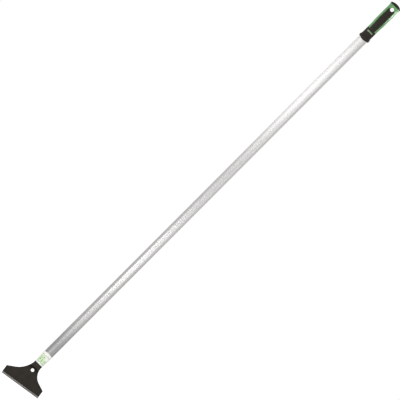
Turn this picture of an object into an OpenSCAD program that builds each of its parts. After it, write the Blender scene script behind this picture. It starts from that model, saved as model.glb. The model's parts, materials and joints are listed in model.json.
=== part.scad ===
// Long-handled algae scraper: a 4 inch flat blade clamped in a cast head on a 48 inch pole.
// Frame: +Z runs up the pole to the grip, +X to the right, the front faces -Y.
// Origin: centre of the round hole through the head, on the pole's own axis.

/* [Pole] */
// Outside diameter of the tube
tube_d = 23; // [22:0.5:24]
// Wall thickness of the tube
tube_wall = 1.2; // [1:0.1:1.6]
// Height of the tube's lower end above the head's hole
tube_bottom = 20.3; // [19:0.1:24]
// Height of the tube's upper end, inside the grip
tube_top = 1149; // [1100:1:1149]

/* [Head] */
// Sideways cant of the head on the pole, in degrees
head_cant = 8.8; // [6:0.1:10]
// Thickness of the head's flat web
web_t = 8; // [7:0.5:9]
// Diameter of the round hole through the web
hole_d = 8; // [6:0.5:8]
// Diameter of the round neck below the tube
neck_d = 21.6; // [21:0.1:21.8]
// Length of the spigot inside the tube
spigot_l = 42; // [30:1:60]
// Height of the ears' outer ends, above the cutting edge
ear_h = 20.5; // [18.5:0.5:21]
// Height of the head's underside, above the cutting edge
shoe_h = 4.5; // [3.5:0.5:6]
// Radius of the scoops that thin the round neck into the web
scoop_r = 10; // [9:0.5:12]

/* [Blade and clamp] */
// Length of the cutting edge
blade_w = 101.6; // [100:0.1:103]
// Height of the blade, cutting edge to back edge
blade_h = 19; // [17:0.5:20]
// Thickness of the blade
blade_t = 0.9; // [0.6:0.05:0.9]
// Thickness of the clamp plate
clamp_t = 2.4; // [2:0.1:3]
// Thread diameter of the two clamp screws
screw_d = 5; // [4:0.5:5]
// Length of the screws under the head
screw_l = 8; // [7:0.5:8.5]
// Distance of each screw from the head's centre line
screw_u = 24; // [20:1:26]
// Height of the screws above the cutting edge
screw_v = 25.5; // [24.5:0.5:26]

/* [Grip] */
// Height of the grip's lower end above the head's hole
grip_z = 1062.6; // [1060:0.1:1064]
// Height of the soft collar above the grip's lower end
collar_h = 30.2; // [29:0.2:33]
// Height of the grip's body, up to the end cap
core_h = 105.4; // [104.8:0.2:107]
// Half width of the soft pads where they are widest
pad_x = 8.8; // [8.4:0.1:9]
// Half width of the soft pads at their lower end
pad_low_x = 7.4; // [7:0.1:8.4]
// Height of the hanging hole's centre above the grip's lower end
hang_h = 95.8; // [95:0.2:96.8]
// Width of the hanging hole
hang_w = 8.6; // [7:0.2:9]
// Length of the hanging hole
hang_l = 11; // [10:0.5:11]

/* [Label] */
// Height of the wrap label at its centre
label_h = 32; // [25:1:36]
// Thickness of the wrap label
label_t = 0.12; // [0.1:0.01:0.2]

/* [Hidden] */
$fn = 96;
gap = 0.02;                               // clearance between neighbouring pieces
big = 200;                                // size of the cutting bodies
tube_r = tube_d / 2;
tube_ri = tube_r - tube_wall;
neck_r = neck_d / 2;
web_y = web_t / 2;

// Where the head's centre line crosses the pole's axis: along the pole, and above the blade
cross_z = -22.9;
cross_v = 23;

// Layers of the head from front to rear: seat of the blade, seat of the clamp plate, screws
blade_play = 0.08;                        // free depth left to the blade under the clamp plate
clamp_play = 0.04;                        // gap between the clamp plate and its own seat
blade_seat_y = web_y - clamp_t - gap - blade_t - blade_play;
clamp_seat_y = web_y - clamp_t - clamp_play;
blade_end_play = 0.1;                     // gap between the blade's back edge and its recess
seat_v = 34.8;                            // top of the recess for the clamp plate
flat_washer_t = 1;
lock_washer_t = 1.2;
washer_y = web_y + gap;
lock_y = washer_y + flat_washer_t + gap;
screw_y = lock_y + lock_washer_t + gap;   // underside of the screw heads
screw_hole_y = -2.6;                      // bottom of the blind holes for the screws

// A point of the head, u along the blade and v above the cutting edge, as x and z
function on_head(u, v) = [
    u * cos(head_cant) - (v - cross_v) * sin(head_cant),
    cross_z + u * sin(head_cant) + (v - cross_v) * cos(head_cant)
];

// Where the line through p along angle a meets the upright line at x
function meet_upright(p, a, x) = [x, p.y + (x - p.x) * tan(a)];

// Centre of the circle of radius r through p and q, on the left of the way from p to q
function arc_centre(p, q, r) =
    let (chord = norm(q - p), along = (q - p) / chord)
    (p + q) / 2 + [-along.y, along.x] * sqrt(r * r - chord * chord / 4);

// Outline of the head: the ears' slopes run into the neck's sides through large fillets
half_w = blade_w / 2;
corner_cut = 1.5;
slope_in = 17.8;                          // level run of each ear's slope
slope_up = 8.8;                           // rise of each ear's slope
slope_a = atan(slope_up / slope_in);
fillet_ease = 1.02;                       // opens each fillet a little past its tangent arc

// One side of the outline: s is -1 for the left ear, 1 for the right
function slope_top(s) = on_head(s * (half_w - slope_in), ear_h + slope_up);
function slope_dir(s) = s < 0 ? slope_a + head_cant : 180 - slope_a + head_cant;
function elbow(s) = meet_upright(slope_top(s), slope_dir(s), s * neck_r);
function reach(s) = norm(elbow(s) - slope_top(s));
function neck_end(s) = elbow(s) + [0, reach(s)];
function fillet_turn(s) = abs(slope_dir(s) - 90);
function fillet_r(s) = fillet_ease * reach(s) / tan(fillet_turn(s) / 2);
function fillet_c(s) = s < 0
    ? arc_centre(slope_top(s), neck_end(s), fillet_r(s))
    : arc_centre(neck_end(s), slope_top(s), fillet_r(s));

outline_top = max(neck_end(-1).y, neck_end(1).y, tube_bottom) + 1;
head_outline = [
    on_head(-half_w, shoe_h + corner_cut),
    on_head(-half_w + corner_cut, shoe_h),
    on_head(half_w - corner_cut, shoe_h),
    on_head(half_w, shoe_h + corner_cut),
    on_head(half_w, ear_h),
    slope_top(1),
    neck_end(1),
    [neck_r, outline_top],
    [-neck_r, outline_top],
    neck_end(-1),
    slope_top(-1),
    on_head(-half_w, ear_h)
];

// Children drawn in x and z, as a plate from y_lo to y_hi
module slab(y_lo, y_hi)
    translate([0, y_hi, 0]) rotate([90, 0, 0]) linear_extrude(y_hi - y_lo) children();

// Children placed in the head's own frame: x along the blade, z above the cutting edge
module on_plate()
    translate([0, 0, cross_z]) rotate([0, -head_cant, 0]) translate([0, 0, -cross_v]) children();

// Children turned so that their z axis runs backwards (+Y) from height y0 at (u, v)
module at_screw(side, y0)
    on_plate() translate([side * screw_u, y0, screw_v]) rotate([-90, 0, 0]) children();

module tube_shape(r_in, r_out, z_lo, z_hi)
    translate([0, 0, z_lo]) difference() {
        cylinder(r = r_out, h = z_hi - z_lo);
        translate([0, 0, -1]) cylinder(r = r_in, h = z_hi - z_lo + 2);
    }

// ---- Pole -------------------------------------------------------------------------

pin_up = 20;                              // height of the pin above the tube's lower end
pin_z = tube_bottom + pin_up;
pin_r = 2;

// The pin's cross hole, along Y
module pin_hole()
    translate([0, 0, pin_z]) rotate([90, 0, 0]) cylinder(r = pin_r + gap, h = 2 * tube_d, center = true);

module pole_tube()
    color("lightgray") difference() {
        tube_shape(tube_ri, tube_r, tube_bottom + gap, tube_top);
        pin_hole();
    }

// Wrap-around label whose upper edge is cut to an arch, front and back
label_up = 0.6;                           // bare tube below the label
label_z = tube_bottom + label_up;
label_drop = 1.9;                         // how far the arch falls at the tube's sides

module label_wrap() {
    outer_r = tube_r + gap + label_t;
    arch_r = (outer_r * outer_r + label_drop * label_drop) / (2 * label_drop);
    color("honeydew") intersection() {
        tube_shape(tube_r + gap, outer_r, label_z, label_z + label_h + 1);
        translate([0, 0, label_z + label_h - arch_r]) rotate([90, 0, 0])
            cylinder(r = arch_r, h = 2 * tube_d, center = true, $fn = 360);
    }
}

// Slotted spring pin that locks the tube on the head's spigot
module neck_pin() {
    pin_sunk = 0.3;                       // how far each end sits below the tube's surface
    pin_l = tube_d - 2 * pin_sunk;
    pin_wall = 0.7;
    slot = 0.6;
    color("dimgray") translate([0, pin_l / 2, pin_z]) rotate([90, 0, 0]) difference() {
        cylinder(r = pin_r, h = pin_l);
        translate([0, 0, -1]) cylinder(r = pin_r - pin_wall, h = pin_l + 2);
        translate([0, -slot / 2, -1]) cube([pin_r + 1, slot, pin_l + 2]);
    }
}

// ---- Head -------------------------------------------------------------------------

// The two fillet circles, as bodies to cut away
module fillet_cutters()
    for (s = [-1, 1])
        translate([fillet_c(s).x, 0, fillet_c(s).y]) rotate([90, 0, 0])
            cylinder(r = fillet_r(s), h = big, center = true, $fn = 360);

module head_plate(y_lo, y_hi)
    difference() {
        slab(y_lo, y_hi) polygon(head_outline);
        fillet_cutters();
    }

// Round trumpet around the pole's axis: it follows the wider fillet, and its radius reaches
// out to the web's corners at the bottom, so that the web's edges round off little by little
scoop_z = -1;
trumpet_steps = 16;
trumpet_span = tube_bottom - scoop_z;
trumpet_margin = 0.4;                     // how far its lower end stands clear of the web's corners

function fillet_x(s, z) =
    let (below = max(neck_end(s).y - z, 0))
    neck_r + fillet_r(s) - sqrt(pow(fillet_r(s), 2) - below * below);
function corner_share(z) = 1 - (z - scoop_z) / trumpet_span;
function trumpet_r(z) =
    norm([max(fillet_x(-1, z), fillet_x(1, z)) + trumpet_margin * corner_share(z),
          web_y * corner_share(z)]);

module trumpet()
    rotate_extrude() polygon(concat(
        [[0, scoop_z]],
        [for (i = [0 : trumpet_steps])
            let (z = scoop_z + trumpet_span * i / trumpet_steps) [trumpet_r(z), z]],
        [[0, tube_bottom]]
    ));

// The neck: round under the tube, thinned to the web by one scoop in front and one behind
module head_neck()
    intersection() {
        difference() {
            trumpet();
            for (s = [-1, 1])
                translate([0, s * (web_y + scoop_r), scoop_z]) rotate([0, 90, 0])
                    cylinder(r = scoop_r, h = big, center = true, $fn = 180);
        }
        head_plate(-tube_r, tube_r);
    }

core_out_r = 6;                           // bore that lightens the spigot above the pin
core_out_up = 6;

module head_casting()
    color([0.17, 0.16, 0.15]) difference() {
        union() {
            difference() {
                head_plate(-web_y, web_y);
                translate([-big / 2, -big / 2, 0]) cube(big);
            }
            head_neck();
            translate([0, 0, tube_bottom - 1]) cylinder(r = tube_ri - gap, h = spigot_l + 1);
        }
        rotate([90, 0, 0]) cylinder(d = hole_d, h = 2 * tube_d, center = true);
        on_plate() translate([-big / 2, clamp_seat_y, -big + seat_v]) cube(big);
        on_plate() translate([-big / 2, blade_seat_y, -big + blade_h + blade_end_play]) cube(big);
        for (side = [-1, 1])
            at_screw(side, screw_hole_y) cylinder(d = screw_d + 2 * gap, h = web_t);
        pin_hole();
        translate([0, 0, pin_z + core_out_up]) cylinder(r = core_out_r, h = spigot_l);
    }

// Rear plate that traps the blade; its lower edge is bevelled so that the tool can lie flat
module clamp_plate() {
    side_in = 1.2;                        // how far the plate stays inside the head's outline
    foot_in = 0.6;
    ear_in = 0.8;
    slope_in_x = 0.4;
    slope_in_z = 1.2;
    top_in = 0.6;
    top_half = 23.4;
    bevel_h = 5;
    bevel_y = 1.5;
    hole_play = 0.5;
    side_x = half_w - side_in;
    slope_x = half_w - slope_in - slope_in_x;
    slope_z = ear_h + slope_up - slope_in_z;
    foot_z = shoe_h + foot_in;
    outline = [
        [side_x, foot_z],
        [side_x, ear_h - ear_in],
        [slope_x, slope_z],
        [top_half, seat_v - top_in],
        [-top_half, seat_v - top_in],
        [-slope_x, slope_z],
        [-side_x, ear_h - ear_in],
        [-side_x, foot_z]
    ];
    color([0.22, 0.21, 0.2]) difference() {
        on_plate() slab(web_y - clamp_t, web_y) polygon(outline);
        on_plate() translate([-big / 2, 0, 0]) rotate([90, 0, 90]) linear_extrude(big)
            polygon([[web_y - bevel_y, shoe_h], [web_y + 1, shoe_h], [web_y + 1, foot_z + bevel_h],
                     [web_y, foot_z + bevel_h], [web_y - bevel_y, foot_z]]);
        for (side = [-1, 1])
            at_screw(side, 0) cylinder(d = screw_d + hole_play, h = web_t);
    }
}

// Flat blade with one ground edge; the other edge is blunt
module blade() {
    y_lo = blade_seat_y + gap;
    y_hi = y_lo + blade_t;
    y_mid = (y_lo + y_hi) / 2;
    grind_h = 1.8;
    tip = 0.04;
    ease = 0.15;
    color("silver") on_plate() rotate([90, 0, 90]) linear_extrude(blade_w, center = true)
        polygon([[y_mid - tip, 0], [y_mid + tip, 0], [y_hi, grind_h], [y_hi, blade_h - ease],
                 [y_hi - ease, blade_h], [y_lo + ease, blade_h], [y_lo, blade_h - ease],
                 [y_lo, grind_h]]);
}

// Button-head screw with a hexagon socket
module clamp_screw(side) {
    head_r = 4.75;
    head_h = 2.75;
    dome_r = (head_r * head_r + head_h * head_h) / (2 * head_h);
    socket_af = 3;
    socket_depth = 1.6;
    color("gainsboro") at_screw(side, screw_y) difference() {
        union() {
            intersection() {
                cylinder(r = head_r, h = head_h);
                translate([0, 0, head_h - dome_r]) sphere(r = dome_r);
            }
            translate([0, 0, -screw_l]) cylinder(d = screw_d, h = screw_l + head_h / 4);
        }
        translate([0, 0, head_h - socket_depth])
            cylinder(d = socket_af / cos(30), h = socket_depth + 1, $fn = 6);
    }
}

flat_washer_d = 10;
lock_washer_d = 9.2;
washer_play = 0.3;
split_w = 0.8;
split_tilt = 20;

module flat_washer(side)
    color("silver") at_screw(side, washer_y) difference() {
        cylinder(d = flat_washer_d, h = flat_washer_t);
        translate([0, 0, -1]) cylinder(d = screw_d + washer_play, h = flat_washer_t + 2);
    }

// Split spring washer
module lock_washer(side)
    color("darkgray") at_screw(side, lock_y) difference() {
        cylinder(d = lock_washer_d, h = lock_washer_t);
        translate([0, 0, -1]) cylinder(d = screw_d + washer_play, h = lock_washer_t + 2);
        translate([0, -split_w / 2, -1]) rotate([split_tilt, 0, 0])
            cube([lock_washer_d, split_w, lock_washer_t + 3]);
    }

// ---- Grip -------------------------------------------------------------------------

core_top = grip_z + core_h;
core_bottom = grip_z + collar_h;
hang_z = grip_z + hang_h;

// Radius of the grip at heights above its lower end: flared rim, waist, belly, flared top
rim_r = 14.3;
waist_r = 12.45;
belly_r = 13.45;
neck_in_r = 13.1;
top_r = 13.85;
lip_h = 3.4;                              // height of the rounded lip at the bottom
lip_in = 1.4;                             // how far it draws in
grip_knots = [[lip_h, rim_r], [7, rim_r], [13.2, waist_r], [37.8, waist_r], [57.8, belly_r],
              [85.8, belly_r], [93.8, neck_in_r], [98.8, neck_in_r], [core_h, top_r]];
blend_steps = 8;

function ease(t) = t * t * (3 - 2 * t);
function level(k) = grip_knots[k].y == grip_knots[k + 1].y;
function knot_point(k, t) = [
    grip_knots[k].y + (grip_knots[k + 1].y - grip_knots[k].y) * ease(t),
    grip_knots[k].x + (grip_knots[k + 1].x - grip_knots[k].x) * t
];
last_knot = len(grip_knots) - 1;

// Solid grip, all of it standing proud of the basic shape by the given amount
module grip_solid(proud = 0)
    translate([0, 0, grip_z]) rotate_extrude() polygon(concat(
        [[0, 0]],
        [for (a = [0 : 18 : 72]) [rim_r - lip_in * (1 - sin(a)) + proud, lip_h * (1 - cos(a))]],
        [for (k = [0 : last_knot - 1])
            each [for (i = [0 : level(k) ? 0 : blend_steps - 1])
                knot_point(k, i / blend_steps) + [proud, 0]]],
        [[grip_knots[last_knot].y + proud, core_h], [0, core_h]]
    ));

// Straight-sided hole with round ends, through the grip along Y
module hang_hole() {
    half_run = (hang_l - hang_w) / 2;
    translate([0, 0, hang_z]) rotate([90, 0, 0]) {
        for (s = [-1, 1])
            translate([0, s * half_run, 0]) cylinder(d = hang_w, h = big, center = true);
        cube([hang_w, 2 * half_run, big], center = true);
    }
}

// Upright pad outline, from the collar to the hanging hole's middle: it widens upwards to its
// widest point, draws in slightly and ends in rounded corners
pad_corner = 4;
pad_end_down = 0.5;                       // how far its upper end stays below the hole's middle
pad_draw_in = 0.3;
pad_top = hang_z - pad_end_down;
pad_top_x = pad_x - pad_draw_in;
pad_wide_up = 30;                         // height of the widest point above the pad's lower end

module pad_prism(grow, y_lo, y_hi) {
    corner_x = pad_top_x - pad_corner;
    corner_z = pad_top - pad_corner;
    low_z = core_bottom - grow;
    wide_z = core_bottom + pad_wide_up;
    r = pad_corner + grow;
    slab(y_lo, y_hi) {
        polygon([
            [-pad_low_x - grow, low_z], [pad_low_x + grow, low_z], [pad_x + grow, wide_z],
            [corner_x + r, corner_z], [corner_x, corner_z + r], [-corner_x, corner_z + r],
            [-corner_x - r, corner_z], [-pad_x - grow, wide_z]
        ]);
        for (s = [-1, 1])
            translate([s * corner_x, corner_z]) circle(r = r);
    }
}

module tube_bore()
    cylinder(r = tube_r + gap, h = tube_top + gap);

socket_r = 7;
socket_h = 2.4;

module grip_core()
    color([0.36, 0.72, 0.42]) difference() {
        intersection() {
            grip_solid();
            translate([0, 0, core_bottom + gap]) cylinder(r = tube_d, h = big);
        }
        tube_bore();
        for (s = [-1, 1])
            difference() {
                pad_prism(gap, s > 0 ? 0 : -tube_d, s > 0 ? tube_d : 0);
                cylinder(r = tube_r, h = 2 * tube_top);
            }
        hang_hole();
        translate([0, 0, core_top - socket_h - gap]) cylinder(r = socket_r + gap, h = big);
    }

module grip_collar() {
    arch_drop = 4.4;                      // how far the lower edge rises at the collar's sides
    arch_r = (rim_r * rim_r + arch_drop * arch_drop) / (2 * arch_drop);
    color([0.15, 0.15, 0.15]) difference() {
        intersection() {
            grip_solid();
            translate([0, 0, grip_z - 1]) cylinder(r = tube_d, h = collar_h + 1);
            translate([0, 0, grip_z + arch_r]) rotate([90, 0, 0])
                cylinder(r = arch_r, h = big, center = true, $fn = 360);
        }
        tube_bore();
    }
}

// Soft pad let into the core, standing a little proud: side is -1 in front, 1 behind
pad_proud = 0.25;

module grip_pad(side)
    color([0.13, 0.13, 0.13]) difference() {
        intersection() {
            grip_solid(pad_proud);
            pad_prism(0, side > 0 ? 0 : -tube_d, side > 0 ? tube_d : 0);
            translate([0, 0, core_bottom + gap]) cylinder(r = tube_d, h = big);
        }
        cylinder(r = tube_r + gap, h = 2 * tube_top);
        hang_hole();
    }

// Plain light bar on the collar's front
module grip_badge() {
    bar_up = 23.6;
    bar_z = grip_z + bar_up;
    bar_h = 3.4;
    bar_x = 7.6;
    bar_corner = 1;
    bar_t = 0.35;
    color([0.72, 0.9, 0.7]) intersection() {
        tube_shape(waist_r + gap, waist_r + gap + bar_t, bar_z - bar_h, bar_z + bar_h);
        slab(-tube_d, 0) {
            square_z = bar_z - bar_h / 2;
            translate([-bar_x, square_z + bar_corner]) square([2 * bar_x, bar_h - 2 * bar_corner]);
            translate([-bar_x + bar_corner, square_z]) square([2 * (bar_x - bar_corner), bar_h]);
            for (x = [-1, 1])
                for (z = [-1, 1])
                    translate([x * (bar_x - bar_corner), bar_z + z * (bar_h / 2 - bar_corner)])
                        circle(r = bar_corner);
        }
    }
}

// Domed end cap with a short spigot
module grip_cap() {
    cap_h = 7.2;
    dome_h = 4;
    dome_r = (rim_r * rim_r + dome_h * dome_h) / (2 * dome_h);
    color([0.14, 0.14, 0.14]) {
        intersection() {
            translate([0, 0, core_top + gap]) cylinder(r = rim_r, h = cap_h);
            translate([0, 0, core_top + cap_h - dome_r]) sphere(r = dome_r, $fn = 240);
        }
        translate([0, 0, core_top - socket_h]) cylinder(r = socket_r, h = socket_h + 1);
    }
}

pole_tube();
label_wrap();
neck_pin();
head_casting();
clamp_plate();
blade();
clamp_screw(-1);  // clamp_screw_left
clamp_screw(1);  // clamp_screw_right
flat_washer(-1);  // flat_washer_left
flat_washer(1);  // flat_washer_right
lock_washer(-1);  // lock_washer_left
lock_washer(1);  // lock_washer_right
grip_core();
grip_collar();
grip_pad(-1);  // grip_pad_front
grip_pad(1);  // grip_pad_rear
grip_badge();
grip_cap();
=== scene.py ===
"""Looks for the long-handled algae scraper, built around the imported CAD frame. Lengths are in metres."""

import json
import math

import bmesh
import bpy
from mathutils import Matrix, Vector


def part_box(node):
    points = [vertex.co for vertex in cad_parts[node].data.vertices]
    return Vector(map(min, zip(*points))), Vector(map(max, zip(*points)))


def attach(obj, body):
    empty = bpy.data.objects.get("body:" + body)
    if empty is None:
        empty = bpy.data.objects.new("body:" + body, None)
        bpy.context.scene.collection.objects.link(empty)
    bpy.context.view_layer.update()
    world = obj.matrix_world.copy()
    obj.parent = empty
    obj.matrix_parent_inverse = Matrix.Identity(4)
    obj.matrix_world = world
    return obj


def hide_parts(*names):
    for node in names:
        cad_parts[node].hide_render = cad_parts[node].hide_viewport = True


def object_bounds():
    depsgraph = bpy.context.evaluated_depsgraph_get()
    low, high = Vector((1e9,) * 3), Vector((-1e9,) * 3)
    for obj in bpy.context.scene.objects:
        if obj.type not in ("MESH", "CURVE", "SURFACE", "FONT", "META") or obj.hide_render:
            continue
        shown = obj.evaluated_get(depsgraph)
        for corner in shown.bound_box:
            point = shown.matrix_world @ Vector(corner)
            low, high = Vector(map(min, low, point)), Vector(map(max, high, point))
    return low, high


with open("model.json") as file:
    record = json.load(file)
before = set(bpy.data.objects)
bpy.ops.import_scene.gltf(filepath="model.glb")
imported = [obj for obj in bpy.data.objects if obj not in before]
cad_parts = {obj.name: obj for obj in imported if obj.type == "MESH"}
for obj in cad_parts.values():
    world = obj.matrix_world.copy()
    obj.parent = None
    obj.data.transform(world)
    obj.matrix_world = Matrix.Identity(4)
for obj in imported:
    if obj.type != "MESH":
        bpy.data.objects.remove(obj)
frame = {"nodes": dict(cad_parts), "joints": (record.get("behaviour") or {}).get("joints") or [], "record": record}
cad_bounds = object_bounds()

MM = 0.001
nodes = frame["nodes"]
body_of_node = {n: b for b, names in frame["record"]["behaviour"]["bodies"].items() for n in names}

# The head is canted on the pole: its blade slides straight out, so that joint gives the head's own axes.
slide = next(j for j in frame["joints"] if j["name"] == "blade_slide")
HEAD_CANT = math.atan2(slide["axis"][0], -slide["axis"][2])


# ---- Materials --------------------------------------------------------------------

class Paint:
    """One procedural material, with short calls for the nodes that the materials share."""

    def __init__(self, name, turn=0.0):
        self.material = bpy.data.materials.new(name)
        self.material.use_nodes = True
        self.tree = self.material.node_tree
        self.shader = self.tree.nodes["Principled BSDF"]
        coordinates = self.add("ShaderNodeTexCoord").outputs["Object"]
        place = self.add("ShaderNodeMapping")
        place.inputs["Rotation"].default_value = (0, turn, 0)
        place.inputs["Scale"].default_value = (1 / MM,) * 3
        self.join(coordinates, place.inputs["Vector"])
        self.mm = place.outputs["Vector"]

    def add(self, kind):
        return self.tree.nodes.new(kind)

    def join(self, value, socket):
        """Links a socket, or sets a plain value."""
        if isinstance(value, bpy.types.NodeSocket):
            self.tree.links.new(value, socket)
        elif isinstance(value, tuple) and len(value) == 3 and socket.type == "RGBA":
            socket.default_value = (*value, 1.0)
        else:
            socket.default_value = value

    def set(self, **values):
        for name, value in values.items():
            self.join(value, self.shader.inputs[name.replace("_", " ")])

    def math(self, kind, a, b=0.0):
        node = self.add("ShaderNodeMath")
        node.operation = kind
        self.join(a, node.inputs[0])
        self.join(b, node.inputs[1])
        return node.outputs[0]

    def axes(self):
        node = self.add("ShaderNodeSeparateXYZ")
        self.join(self.mm, node.inputs[0])
        return node.outputs

    def noise(self, scale, detail=2.0, stretch=(1, 1, 1)):
        """Noise between 0 and 1; scale is in features per millimetre."""
        place = self.add("ShaderNodeMapping")
        place.inputs["Scale"].default_value = stretch
        self.join(self.mm, place.inputs["Vector"])
        node = self.add("ShaderNodeTexNoise")
        node.inputs["Scale"].default_value = scale
        node.inputs["Detail"].default_value = detail
        self.join(place.outputs["Vector"], node.inputs["Vector"])
        return node.outputs["Fac"]

    def cells(self, scale):
        node = self.add("ShaderNodeTexVoronoi")
        node.inputs["Scale"].default_value = scale
        self.join(self.mm, node.inputs["Vector"])
        return node.outputs["Distance"]

    def span(self, value, low, high, to_low=0.0, to_high=1.0):
        """Maps low..high smoothly to to_low..to_high."""
        node = self.add("ShaderNodeMapRange")
        node.interpolation_type = "SMOOTHSTEP"
        for name, number in (("From Min", low), ("From Max", high), ("To Min", to_low), ("To Max", to_high)):
            node.inputs[name].default_value = number
        self.join(value, node.inputs["Value"])
        return node.outputs["Result"]

    def mix(self, factor, a, b):
        node = self.add("ShaderNodeMix")
        node.data_type = "RGBA"
        self.join(factor, node.inputs["Factor"])
        self.join(a, node.inputs[6])
        self.join(b, node.inputs[7])
        return node.outputs[2]

    def bump(self, height, depth_mm):
        node = self.add("ShaderNodeBump")
        node.inputs["Distance"].default_value = depth_mm * MM
        self.join(height, node.inputs["Height"])
        self.join(node.outputs["Normal"], self.shader.inputs["Normal"])


def satin_aluminium():
    """Drawn and anodised tube: fine lines along it, faint handling marks, and painted shade that darkens its lower
    end.
    """
    p = Paint("satin_aluminium")
    drawn = p.noise(5.0, 3.0, (1, 1, 0.004))
    slow = p.noise(0.02, 2.0, (1, 1, 0.3))
    marks = p.span(p.noise(0.9, 4.0, (1, 1, 0.12)), 0.62, 0.72)
    tone = p.mix(p.span(drawn, 0.3, 0.7), (0.642, 0.637, 0.632), (0.663, 0.658, 0.653))
    tone = p.mix(p.math("MULTIPLY", marks, 0.08), tone, (0.52, 0.52, 0.53))
    # Painted shade: the tube's colour is darkened towards its lower end, standing in for the dimmer light there.
    shade_full_below, shade_gone_above = 70.0, 155.0
    painted_shade_low = p.span(p.axes()[2], shade_full_below, shade_gone_above, 0.62, 0.0)
    tone = p.mix(painted_shade_low, tone, (0.46, 0.46, 0.465))
    rough = p.math("ADD", p.span(drawn, 0.2, 0.8, 0.41, 0.44), p.span(slow, 0.3, 0.7, -0.015, 0.015))
    p.set(Base_Color=tone, Metallic=1.0, Roughness=rough)
    p.bump(drawn, 0.0022)
    return p.material


def powder_coat(name, turn, wear):
    """Matte black coating with fine orange peel; wear pales the rubbed edges of a finely meshed piece."""
    p = Paint(name, turn)
    peel = p.noise(1.6, 4.0)
    blotch = p.noise(0.06, 3.0)
    base = p.mix(p.span(blotch, 0.3, 0.7), (0.019, 0.013, 0.008), (0.026, 0.019, 0.012))
    geometry = p.add("ShaderNodeNewGeometry")
    edge = p.span(geometry.outputs["Pointiness"], 0.53, 0.60)
    rubbed = p.math("MULTIPLY", edge, p.span(p.noise(0.5, 3.0), 0.45, 0.65))
    base = p.mix(p.math("MULTIPLY", rubbed, wear), base, (0.16, 0.155, 0.15))
    p.set(Base_Color=base, Roughness=p.span(peel, 0.3, 0.7, 0.46, 0.60), Specular_IOR_Level=0.32)
    p.bump(peel, 0.05)
    return p.material


def ground_steel(turn):
    """Blade steel: a rolled finish that runs along the blade, with faint stains."""
    p = Paint("ground_steel", turn)
    rolled = p.noise(3.0, 3.0, (0.02, 1, 1))
    stain = p.noise(0.12, 4.0)
    tone = p.mix(p.span(rolled, 0.3, 0.7), (0.27, 0.265, 0.255), (0.38, 0.37, 0.355))
    tone = p.mix(p.span(stain, 0.55, 0.75, 0.0, 0.3), tone, (0.26, 0.24, 0.21))
    p.set(Base_Color=tone, Metallic=1.0, Roughness=p.span(rolled, 0.2, 0.8, 0.30, 0.45))
    p.bump(rolled, 0.01)
    return p.material


def zinc_plate():
    """Bright zinc on screws, washers and the pin: slightly cloudy, with a fine grain."""
    p = Paint("zinc_plate")
    cloud = p.noise(0.8, 3.0)
    tone = p.mix(cloud, (0.62, 0.63, 0.64), (0.74, 0.74, 0.72))
    p.set(Base_Color=tone, Metallic=1.0, Roughness=p.span(cloud, 0.3, 0.7, 0.22, 0.36))
    p.bump(p.noise(4.0, 2.0), 0.008)
    return p.material


def green_plastic():
    """Semi-gloss moulded green with a very fine spark-finish grain."""
    p = Paint("green_plastic")
    grain = p.noise(3.5, 2.0)
    drift = p.noise(0.05, 2.0)
    tone = p.mix(p.span(drift, 0.3, 0.7), (0.105, 0.29, 0.095), (0.13, 0.335, 0.12))
    p.set(Base_Color=tone, Roughness=p.span(grain, 0.3, 0.7, 0.28, 0.38), Specular_IOR_Level=0.42)
    p.bump(grain, 0.006)
    return p.material


def soft_black(name, stipple):
    """Black thermoplastic rubber: dull, with a moulded stipple and a little dust in it."""
    p = Paint(name)
    dots = p.cells(stipple)
    dust = p.noise(0.25, 4.0)
    tone = p.mix(p.span(dust, 0.5, 0.8), (0.015, 0.011, 0.006), (0.030, 0.025, 0.018))
    p.set(Base_Color=tone, Roughness=p.span(dots, 0.1, 0.6, 0.52, 0.68), Specular_IOR_Level=0.32)
    p.bump(p.span(dots, 0.05, 0.5, 1.0, 0.0), 0.06)
    return p.material


def black_plastic():
    """Harder black moulding of the end cap, with a satin face."""
    p = Paint("black_plastic")
    grain = p.noise(2.8, 3.0)
    tone = p.mix(grain, (0.006, 0.007, 0.003), (0.010, 0.011, 0.005))
    p.set(Base_Color=tone, Roughness=p.span(grain, 0.3, 0.7, 0.36, 0.46), Specular_IOR_Level=0.15)
    p.bump(grain, 0.02)
    return p.material


def badge_paint():
    """Pale green insert whose ends are rubbed paler."""
    p = Paint("badge_paint")
    rub_start, rub_full = 2.0, 6.0
    ends = p.span(p.math("ABSOLUTE", p.axes()[0]), rub_start, rub_full)
    tone = p.mix(ends, (0.15, 0.25, 0.12), (0.23, 0.29, 0.20))
    grain = p.noise(2.0, 2.0)
    p.set(Base_Color=tone, Roughness=p.span(grain, 0.3, 0.7, 0.35, 0.45))
    p.bump(grain, 0.01)
    return p.material


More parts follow.
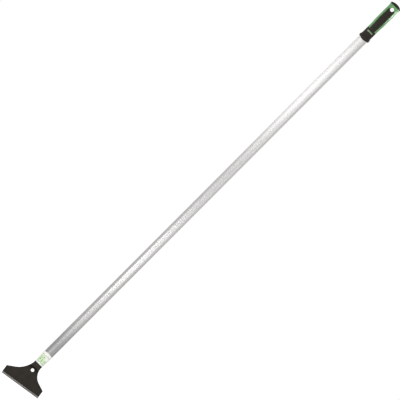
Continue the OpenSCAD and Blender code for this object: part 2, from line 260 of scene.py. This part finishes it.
def label_print(low, high):
    """Printed film: bands, a pale green field and plain generic bars, drawn by height and distance round, with a
    faint painted glow.
    """
    p = Paint("label_print")
    x, y, z = p.axes()
    film_r = 11.6
    side_blur = 0.25
    height_blur = 0.012
    round_mm = p.math("MULTIPLY", p.math("ARCTAN2", x, p.math("MULTIPLY", y, -1.0)), film_r)
    up = p.math("MULTIPLY", p.math("SUBTRACT", z, low / MM), MM / (high - low))
    tone = paper = (0.97, 0.98, 0.91)
    pale_green = (0.62, 0.86, 0.47)
    leaf_green = (0.13, 0.37, 0.12)
    grey_green = (0.40, 0.52, 0.38)
    band_grey = (0.40, 0.46, 0.38)
    line_grey = (0.45, 0.48, 0.45)

    def between(value, lo, hi, blur):
        return p.math("MULTIPLY", p.span(value, lo - blur, lo + blur), p.span(value, hi + blur, hi - blur))

    # Each bar: colour, left and right in mm round the tube, bottom and top as shares of height, strength.
    bars = [
        (pale_green, -12.5, 13.0, 0.16, 0.68, 0.75),
        (paper, 2.0, 13.5, 0.46, 0.72, 1.0),
        (grey_green, -13.0, 13.0, 0.11, 0.155, 0.95),
        (leaf_green, -1.5, 0.3, 0.20, 0.43, 0.9),
        (leaf_green, -8.6, -5.8, 0.29, 0.40, 0.9),
        (leaf_green, -2.2, 1.8, 0.55, 0.61, 0.9),
        (leaf_green, -7.5, -4.0, 0.47, 0.52, 0.9),
        (grey_green, 4.8, 9.6, 0.30, 0.40, 0.7),
        (band_grey, -17.0, 17.0, 0.735, 0.775, 0.9),
    ]
    side_lines = 5
    for row in range(side_lines):
        height = 0.24 + 0.11 * row
        reach = 31.0 - 2.5 * (row % 3)
        bars.append((line_grey, 20.0, reach, height, height + 0.035, 0.7))
    bars.append((leaf_green, -33.0, -19.0, 0.24, 0.66, 0.8))
    for colour, left, right, bottom, top, strength in bars:
        across = between(round_mm, left, right, side_blur)
        mask = p.math("MULTIPLY", across, between(up, bottom, top, height_blur))
        tone = p.mix(p.math("MULTIPLY", mask, strength), tone, colour)

    fibre = p.noise(1.2, 4.0)
    tone = p.mix(p.span(fibre, 0.3, 0.8, 0.0, 0.08), tone, (0.6, 0.6, 0.55))
    p.set(Base_Color=tone, Roughness=p.span(fibre, 0.3, 0.7, 0.30, 0.42), Specular_IOR_Level=0.45)
    # Painted light: the film glows faintly by itself, so the label looks brighter than the lamps alone make it.
    p.set(Emission_Color=tone, Emission_Strength=0.11)
    p.bump(p.noise(0.35, 2.0), 0.03)
    return p.material


def pale_floor():
    """White studio floor that glows a little, so that it meets the white surroundings without a line."""
    p = Paint("pale_floor")
    grain = p.noise(0.05, 2.0)
    p.set(Base_Color=p.mix(grain, (0.34, 0.34, 0.34), (0.36, 0.36, 0.36)), Roughness=0.7)
    seen = p.add("ShaderNodeLightPath").outputs["Is Camera Ray"]
    p.set(Emission_Color=(1.0, 1.0, 1.0), Emission_Strength=p.math("MULTIPLY", seen, 0.9))
    return p.material


def paint_piece(piece, material):
    piece.data.materials.clear()
    piece.data.materials.append(material)


# ---- Shapes -----------------------------------------------------------------------

def apply_modifiers(piece):
    """Turns the piece's modifiers into plain geometry."""
    graph = bpy.context.evaluated_depsgraph_get()
    mesh = bpy.data.meshes.new_from_object(piece.evaluated_get(graph))
    piece.modifiers.clear()
    old = piece.data
    piece.data = mesh
    bpy.data.meshes.remove(old)


def ease_edges(piece, width):
    """Rounds the sharp edges of a machined or moulded CAD node with modifiers."""
    weld = piece.modifiers.new("weld", "WELD")
    weld.merge_threshold = 0.002 * MM
    flat = piece.modifiers.new("flat", "DECIMATE")
    flat.decimate_type = "DISSOLVE"
    flat.angle_limit = math.radians(0.4)
    bevel = piece.modifiers.new("bevel", "BEVEL")
    bevel.width = width
    bevel.segments = 3
    bevel.limit_method = "ANGLE"
    bevel.angle_limit = math.radians(32)
    bevel.harden_normals = True
    bevel.use_clamp_overlap = True


def moulded_skin(node, voxel, passes, share):
    """A copy of a CAD node with edges rounded as on a casting or a moulding; it stands for the node."""
    piece = bpy.data.objects.new(f"{node}_skin", nodes[node].data.copy())
    bpy.context.scene.collection.objects.link(piece)
    remesh = piece.modifiers.new("remesh", "REMESH")
    remesh.mode = "VOXEL"
    remesh.voxel_size = voxel
    soften = piece.modifiers.new("soften", "SMOOTH")
    soften.factor = 0.5
    soften.iterations = passes
    thin = piece.modifiers.new("thin", "DECIMATE")
    thin.ratio = share
    apply_modifiers(piece)
    for face in piece.data.polygons:
        face.use_smooth = True
    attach(piece, body_of_node[node])
    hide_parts(node)
    return piece


def wrap_label():
    """Thin printed film wound round the tube, its free end lapped over the start at the back."""
    low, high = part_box("label_wrap")
    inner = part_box("pole_tube")[1].x + 0.02 * MM
    film = 0.09 * MM
    corner_lift = 0.22 * MM
    lap = math.radians(14)
    sweep = 2 * math.pi + lap
    rise_run = lap * 1.4
    loose_from = 0.75
    arch_drop = 1.9 * MM
    arch_r = (high.x ** 2 + arch_drop ** 2) / (2 * arch_drop)
    around, rows = 180, 20
    mesh = bmesh.new()
    grid = []
    for i in range(around + 1):
        turn = math.pi + sweep * i / around
        lapped = max(0.0, 1 - (around - i) / around * sweep / rise_run)
        loose = max(0.0, lapped - loose_from) / (1 - loose_from)
        column = []
        for k in range(rows + 1):
            rise = k / rows
            radius = inner + film * min(1.0, lapped * 3) + corner_lift * loose * rise ** 3
            x = radius * math.sin(turn)
            top = high.z - arch_r + math.sqrt(arch_r ** 2 - x ** 2)
            column.append(mesh.verts.new((x, -radius * math.cos(turn), low.z + (top - low.z) * rise)))
        grid.append(column)
    for i in range(around):
        for k in range(rows):
            mesh.faces.new((grid[i][k], grid[i + 1][k], grid[i + 1][k + 1], grid[i][k + 1]))
    data = bpy.data.meshes.new("printed_label")
    mesh.to_mesh(data)
    mesh.free()
    piece = bpy.data.objects.new("printed_label", data)
    bpy.context.scene.collection.objects.link(piece)
    thick = piece.modifiers.new("thick", "SOLIDIFY")
    thick.thickness = film
    thick.offset = 1.0
    apply_modifiers(piece)
    for face in piece.data.polygons:
        face.use_smooth = True
    piece.data.set_sharp_from_angle(angle=math.radians(40))
    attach(piece, body_of_node["label_wrap"])
    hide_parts("label_wrap")
    return piece


def dress():
    """Gives every node its finish, and its softened shape where the real piece is cast or moulded."""
    cast_coat = powder_coat("cast_powder_coat", HEAD_CANT, 0.2)
    plate_coat = powder_coat("plate_powder_coat", HEAD_CANT, 0.0)
    zinc = zinc_plate()
    rubber = soft_black("soft_black_pad", 1.1)
    collar_rubber = soft_black("soft_black_collar", 1.6)
    label_low, label_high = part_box("label_wrap")

    paint_piece(nodes["pole_tube"], satin_aluminium())
    paint_piece(wrap_label(), label_print(label_low.z, label_high.z))

    paint_piece(moulded_skin("head_casting", voxel=0.38 * MM, passes=4, share=0.35), cast_coat)
    paint_piece(nodes["clamp_plate"], plate_coat)
    ease_edges(nodes["clamp_plate"], 0.45 * MM)
    paint_piece(nodes["blade"], ground_steel(HEAD_CANT))

    for name in ("clamp_screw_left", "clamp_screw_right"):
        paint_piece(nodes[name], zinc)
        ease_edges(nodes[name], 0.18 * MM)
    for name in ("flat_washer_left", "flat_washer_right", "lock_washer_left", "lock_washer_right"):
        paint_piece(nodes[name], zinc)
        ease_edges(nodes[name], 0.12 * MM)
    paint_piece(nodes["neck_pin"], zinc)

    paint_piece(moulded_skin("grip_core", voxel=0.21 * MM, passes=14, share=0.2), green_plastic())
    paint_piece(moulded_skin("grip_collar", voxel=0.28 * MM, passes=3, share=0.35), collar_rubber)
    for pad in ("grip_pad_front", "grip_pad_rear"):
        paint_piece(moulded_skin(pad, voxel=0.20 * MM, passes=14, share=0.25), rubber)
    paint_piece(moulded_skin("grip_cap", voxel=0.30 * MM, passes=4, share=0.35), black_plastic())
    paint_piece(nodes["grip_badge"], badge_paint())
    ease_edges(nodes["grip_badge"], 0.12 * MM)


# ---- Stage ------------------------------------------------------------------------

def soft_box(name, bearing, distance, height, wide, tall, power, beam=180):
    """A soft light aimed level at the pole; bearing is in degrees from the front, positive to the right."""
    data = bpy.data.lights.new(name, "AREA")
    data.shape = "RECTANGLE"
    data.size = wide
    data.size_y = tall
    data.energy = power
    data.spread = math.radians(beam)
    light = bpy.data.objects.new(name, data)
    bpy.context.scene.collection.objects.link(light)
    turn = math.radians(bearing)
    place = Vector((distance * math.sin(turn), -distance * math.cos(turn), height))
    target = Vector((0, 0, height))
    light.location = place
    light.rotation_euler = (target - place).to_track_quat("-Z", "Y").to_euler()


def surroundings():
    """White to the camera; a dimmer grey, slightly brighter on the left, for what the object reflects."""
    glow_left, glow_right = 0.74, 0.67
    world = bpy.data.worlds.new("studio")
    bpy.context.scene.world = world
    world.use_nodes = True
    tree = world.node_tree
    background = tree.nodes["Background"]
    seen = tree.nodes.new("ShaderNodeBackground")
    seen.inputs["Color"].default_value = (1, 1, 1, 1)
    seen.inputs["Strength"].default_value = 1.0
    background.inputs["Color"].default_value = (1, 1, 1, 1)
    direction = tree.nodes.new("ShaderNodeSeparateXYZ")
    tree.links.new(tree.nodes.new("ShaderNodeTexCoord").outputs["Generated"], direction.inputs[0])
    glow = tree.nodes.new("ShaderNodeMapRange")
    for name, number in (("From Min", -1), ("From Max", 1), ("To Min", glow_left), ("To Max", glow_right)):
        glow.inputs[name].default_value = number
    tree.links.new(direction.outputs["X"], glow.inputs["Value"])
    tree.links.new(glow.outputs["Result"], background.inputs["Strength"])
    path = tree.nodes.new("ShaderNodeLightPath")
    choose = tree.nodes.new("ShaderNodeMixShader")
    tree.links.new(path.outputs["Is Camera Ray"], choose.inputs["Fac"])
    tree.links.new(background.outputs["Background"], choose.inputs[1])
    tree.links.new(seen.outputs["Background"], choose.inputs[2])
    tree.links.new(choose.outputs["Shader"], tree.nodes["World Output"].inputs["Surface"])


def floor():
    """A pale round floor, low enough for the blade to slide right out above it."""
    drop = slide["range_m"][1] + 5 * MM
    floor_r = 2.2
    mesh = bmesh.new()
    bmesh.ops.create_circle(mesh, cap_ends=True, segments=96, radius=floor_r)
    data = bpy.data.meshes.new("floor")
    mesh.to_mesh(data)
    mesh.free()
    piece = bpy.data.objects.new("floor", data)
    piece.location = (0, 0, cad_bounds[0].z - drop)
    bpy.context.scene.collection.objects.link(piece)
    paint_piece(piece, pale_floor())


def camera():
    """Face-on to the tool through a long lens, rolled so that the pole rises to the upper right."""
    lean = math.radians(45.05)
    centre_x = -3.8 * MM
    centre_z = 543.3 * MM
    view_width = 910.4 * MM
    data = bpy.data.cameras.new("camera")
    data.lens = 400
    data.sensor_width = 36
    distance = view_width * data.lens / data.sensor_width
    data.clip_end = 5 * distance
    right = Vector((math.sin(lean), 0, math.cos(lean)))
    up = Vector((-math.cos(lean), 0, math.sin(lean)))
    back = right.cross(up)
    piece = bpy.data.objects.new("camera", data)
    turn = Matrix((right, up, back)).transposed().to_4x4()
    piece.matrix_world = Matrix.Translation(Vector((centre_x, 0, centre_z)) + back * distance) @ turn
    bpy.context.scene.collection.objects.link(piece)
    bpy.context.scene.camera = piece


def stage():
    """The surroundings, the floor, the camera, and two rows of lamps that shape the tube's long highlight."""
    surroundings()
    floor()
    camera()
    for bearing, power in ((-35, 0.56), (-10, 0.18), (20, 0.48)):
        soft_box("lower_row", bearing, 0.6, 0.33, 0.28, 0.14, power)
    for bearing, power in ((-70, 0.24), (-45, 0.50), (-20, 0.34), (5, 0.34), (35, 0.22)):
        soft_box("upper_row", bearing, 0.6, 0.93, 0.25, 0.28, power)
    soft_box("rim_left", -105, 0.6, 0.95, 0.40, 0.30, 0.42)
    soft_box("rim_right", 115, 1.4, 0.75, 0.70, 0.90, 0.55)
    soft_box("fill_right", 60, 1.4, 0.60, 0.80, 1.00, 1.6)
    soft_box("head_light", -12, 0.8, -0.03, 0.50, 0.08, 0.33)
    soft_box("grip_glint", 105, 0.30, 1.185, 0.12, 0.05, 0.03, 40)
    bpy.context.scene.view_settings.view_transform = "Standard"


dress()
stage()
